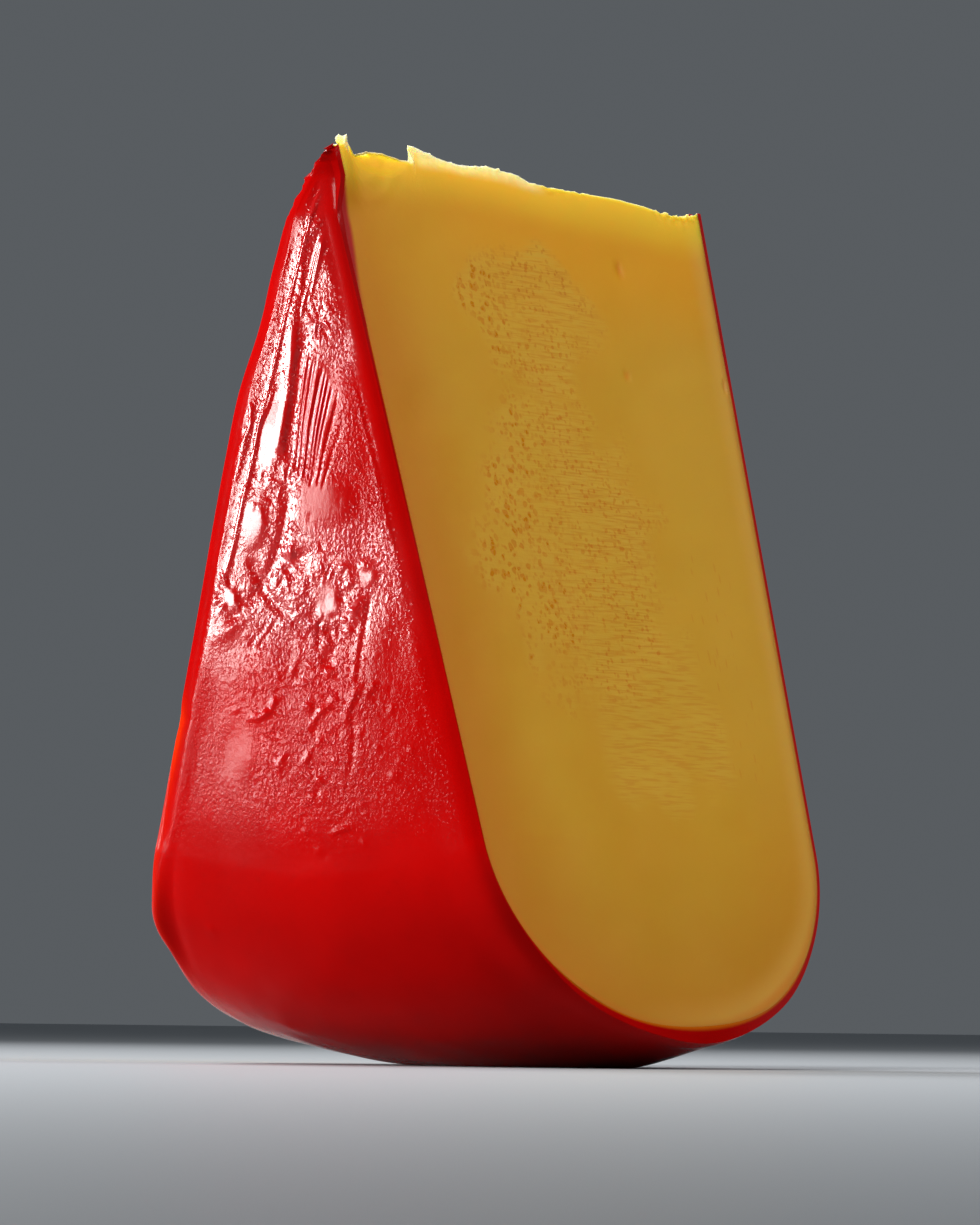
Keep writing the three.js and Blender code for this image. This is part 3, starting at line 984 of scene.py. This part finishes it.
# Painted glow: yellow just under the crest.
CREST_GLOW_YELLOW = (0.80, 0.54, 0.020, 1)
EYE = (0.66, 0.22, 0.003, 1)
WAX_RED = (0.40, 0.003, 0.001, 1)
CRUST = (0.88, 0.80, 0.42, 1)
# Painted glow: red-orange right at the wax.
EDGE_GLOW_RED = (0.62, 0.15, 0.005, 1)
MARK_DEPTH, SKIN_DEPTH = 0.00012, 0.00003


def read_paste(paste):
    """The measures that the paste's finish goes by, in millimetres."""
    place = paste.millimetres()
    return SimpleNamespace(
        place=place, across=paste.part(place, "X"), height=paste.part(place, "Z"),
        to_wax=paste.painted("to_wax"), to_crest=paste.painted("to_crest"),
        soft=paste.clouds(place, 11.0, detail=4.0),
    )  # fmt: skip


def oval(at, x, z, wide, tall):
    """1 in the middle of an oval on the cut and 0 on its outline."""
    return 1.0 - ((at.across - x) / wide) ** 2 - ((at.height - z) / tall) ** 2


# %% Ground colour: golden, a painted orange glow towards the wax, stronger to the left, painted shade at the foot, a painted amber glow under the crest


def paste_ground(paste, at):
    across, height = at.across, at.height
    colour = paste.blend(at.soft, GOLD, MILKY)
    # Painted glow: more orange towards the wax.
    colour = paste.blend(at.to_wax.between(18, 1) * (0.45 + across.between(0, -34) * 0.5), colour, WAX_EDGE_GLOW)
    colour = paste.blend(height.between(34, 2) * 0.5, colour, SHADE)
    # Painted glow: amber under the crest.
    colour = paste.blend(at.to_crest.between(26, 3) * (0.4 + across.between(-34, 0) * 0.6), colour, CREST_GLOW_AMBER)
    # Painted sheen: lighter to the right of the middle.
    sheen_patch = across.between(4, 30) * height.between(20, 45) * height.between(98, 84)
    return paste.blend(sheen_patch * 0.6, colour, PALE_GOLD)


# %% Marks: moist pits, slits, and the grooves and ridges of the blade


def paste_marks(paste, at):
    """The middle that the blade wore, which also carries a painted sheen, the pits and slits, and the
    grooves and ridges, each from 0 to 1.
    """
    uneven = (paste.clouds(at.place, 8.0, detail=2.0) - 0.5) * 1.8
    middle = oval(at, -4, 61, 20, 22).larger(oval(at, -3, 90, 14, 11))
    pitted = (middle + uneven).between(0.0, 0.5)
    worn_and_sheen = (middle.larger(oval(at, 6, 42, 15, 13)) + uneven).between(0.0, 0.6)
    on_left = at.across.between(-1, -15)
    large = paste.cells(paste.wander(at.place, 1.2, 1.0), 1.25).between(0.42, 0.30) * pitted * on_left
    small = paste.cells(paste.wander(at.place, 0.8, 0.6), 0.85).between(0.42, 0.26) * pitted
    small = small * paste.clouds(at.place, 4.0, detail=1.0).between(0.32, 0.55)
    slit_place = paste.millimetres(stretch=(1.5, 1, 0.3))
    slits = paste.cells(slit_place, 1.3).between(0.24, 0.12) * oval(at, 22, 50, 6, 19).between(0.0, 0.5)
    streaks = paste.clouds(paste.millimetres(stretch=(0.16, 1, 2.5)), 0.62, detail=1.5)
    scored = worn_and_sheen * (1.0 - on_left * 0.7)
    grooves, ridges = streaks.between(0.50, 0.62) * scored, streaks.between(0.48, 0.36) * scored
    return worn_and_sheen, large + small * 0.75 + slits * 0.6, grooves, ridges


# %% Edges: a painted warm glow beside the wax, a painted yellow glow under the crest, crusty on it


def paste_edges(paste, at, colour):
    across, height, to_wax, to_crest = at.across, at.height, at.to_wax, at.to_crest
    # Painted glow beside the wax: orange, then gold along the rim, then red-orange at the edge.
    colour = paste.blend(to_wax.between(7.0, 0.0) * (0.5 - across.between(0, 20) * 0.4), colour, WAX_EDGE_GLOW)
    colour = paste.blend(to_wax.between(4.5, 0.8) * across.between(-15, 15) * 0.55, colour, RIM_GLOW_GOLD)
    colour = paste.blend(to_wax.between(1.3, 0.0) * 0.6, colour, EDGE_GLOW_RED)
    # Painted glow: yellow under the crest.
    colour = paste.blend(to_crest.between(7.0, 0.5) * 0.9, colour, CREST_GLOW_YELLOW)
    # Near the tip some wax was dragged over the left edge of the cut.
    reach = height.between(88, 99) * across.between(0, -5) * 1.3
    colour = paste.blend((reach - to_wax).between(-0.5, 0.5) * height.between(84, 92), colour, WAX_RED)
    crumb = paste.clouds(at.place, 0.8, detail=4.0)
    crusty = (across + 21.0).between(0.0, 3.0) * (6.0 - across).between(0.0, 5.0)
    crust = to_crest.between(2.2, 0.2) * crusty + to_crest.between(0.6, 0.1) * 0.5
    flap = oval(at, -32.6, 109.5, 1.6, 2.6).between(0.0, 0.5)
    crust = crust + to_crest.between(1.6, 0.2) * 0.7 * flap
    return paste.blend(crust * (0.45 + crumb * 0.8), colour, CRUST)


# %% Cheese paste


def cheese_finish():
    paste = Finish(
        "cheese_paste", subsurface_weight=0.55, subsurface_radius=(1.0, 0.50, 0.12), subsurface_scale=0.004,
        specular_ior_level=0.15,
    )  # fmt: skip
    at = read_paste(paste)
    worn_and_sheen, hollows, grooves, ridges = paste_marks(paste, at)
    # Painted sheen: lighter over the middle.
    colour = paste.blend(worn_and_sheen * 0.5, paste_ground(paste, at), PALE_GOLD)
    colour = paste.blend(ridges * 0.6, colour, PALE_GOLD)
    colour = paste.blend((hollows + grooves * 0.55) * 0.8, colour, MOIST)
    colour = paste.blend(paste.painted("eyes"), colour, EYE)
    dents = paste.relief(hollows + (grooves - ridges) * 0.35, MARK_DEPTH, -0.7)
    skin = paste.relief(paste.clouds(at.place, 0.45), SKIN_DEPTH, 0.5, under=dents)
    roughness = 0.44 + (at.soft - 0.5) * 0.15 - hollows * 0.14
    paste.feed(base_color=paste_edges(paste, at, colour), normal=skin, roughness=roughness)
    return paste.material


cheese_paste.data.materials.append(cheese_finish())
print("cheese paste has", len(cheese_paste.data.materials[0].node_tree.nodes), "nodes")

# %% [markdown]
# ## Standing in for the CAD solids
# Both pieces belong to the one rigid body of the frame, and each takes over from its CAD solid.

# %% Put the pieces in the frame
for piece, node, slot in ((wax_coat, "wax_coat", "red_wax"), (cheese_paste, "cheese_paste", "cheese_paste")):
    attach(piece, "root")
    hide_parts(node)
    print(piece.name, "stands in for", node)

# %% [markdown]
# ## A small studio
# A plain pale floor and five soft lights. Two panels stand behind and to the left, one inside the
# other, and their mirror image lies on the waxed face with a bright core. A third lights the wax from
# the upper left, a fourth lights the cut, and one above and behind makes the thin crest glow.

# %% Floor and lights
PALE = (0.38, 0.40, 0.42, 1)
SKY = (0.62, 0.68, 0.74, 1)
MIDDLE_HEIGHT = 0.055  # of the wedge, in metres


def make_floor():
    bm = bmesh.new()
    bmesh.ops.create_grid(bm, x_segments=1, y_segments=1, size=6)
    mesh = bpy.data.meshes.new("floor")
    bm.to_mesh(mesh)
    bm.free()
    floor = bpy.data.objects.new("floor", mesh)
    bpy.context.scene.collection.objects.link(floor)
    paint_floor = Finish("pale_floor", base_color=PALE, roughness=0.5, specular_ior_level=0.15)
    mesh.materials.append(paint_floor.material)
    return floor


def soft_light(name, towards, distance, width, height, power, spread=180):
    """A rectangular light that looks at the middle of the wedge from a direction."""
    target = Vector((0, 0, MIDDLE_HEIGHT))
    lamp = bpy.data.lights.new(name, "AREA")
    lamp.shape = "RECTANGLE"
    lamp.size, lamp.size_y, lamp.energy = width, height, power
    lamp.spread = math.radians(spread)
    light = bpy.data.objects.new(name, lamp)
    direction = Vector(towards).normalized()
    light.location = target + direction * distance
    light.rotation_euler = direction.to_track_quat("Z", "Y").to_euler()
    bpy.context.scene.collection.objects.link(light)
    return light


make_floor()
soft_light("left_panel", (-0.676, 0.737, 0.036), 0.80, 0.25, 0.16, 0.8, spread=90)
soft_light("left_core", (-0.52, 0.85, 0.13), 0.80, 0.09, 0.20, 1.2, spread=90)
soft_light("upper_left_panel", (-0.70, -0.10, 0.80), 0.9, 0.4, 0.4, 2.5, spread=110)
soft_light("front_panel", (0.45, -0.85, 0.60), 1.1, 0.6, 0.6, 2.0, spread=110)
soft_light("back_light", (0.15, 0.75, 0.75), 0.9, 0.4, 0.3, 2.1, spread=110)

world = bpy.data.worlds.new("studio")
world.use_nodes = True
sky = world.node_tree.nodes["Background"].inputs
sky["Color"].default_value, sky["Strength"].default_value = SKY, 0.16
bpy.context.scene.world = world
bpy.context.scene.view_settings.view_transform = "Standard"

# %% [markdown]
# ## The camera
# A long lens just above the table, turned to see the waxed face and the cut face together, and
# tipped up a little so that the wedge looks tall.

# %% Camera
CAMERA_PLACE = Vector((-0.6763, -0.5359, 0.0050))
CAMERA_HEADING = 0.9  # radians from +Y towards +X
CAMERA_TILT = 0.05775  # radians above level
CAMERA_ROLL = 0.0115
CAMERA_LENS = 209.6


def make_camera():
    lens = bpy.data.cameras.new("camera")
    lens.lens = CAMERA_LENS
    lens.clip_start = 0.01
    camera = bpy.data.objects.new("camera", lens)
    turn = Matrix.Rotation(-CAMERA_HEADING, 4, "Z") @ Matrix.Rotation(math.pi / 2 + CAMERA_TILT, 4, "X")
    camera.matrix_world = Matrix.Translation(CAMERA_PLACE) @ turn @ Matrix.Rotation(CAMERA_ROLL, 4, "Z")
    bpy.context.scene.collection.objects.link(camera)
    bpy.context.scene.camera = camera


make_camera()

# %% Bring the scene up to date
bpy.context.view_layer.update()
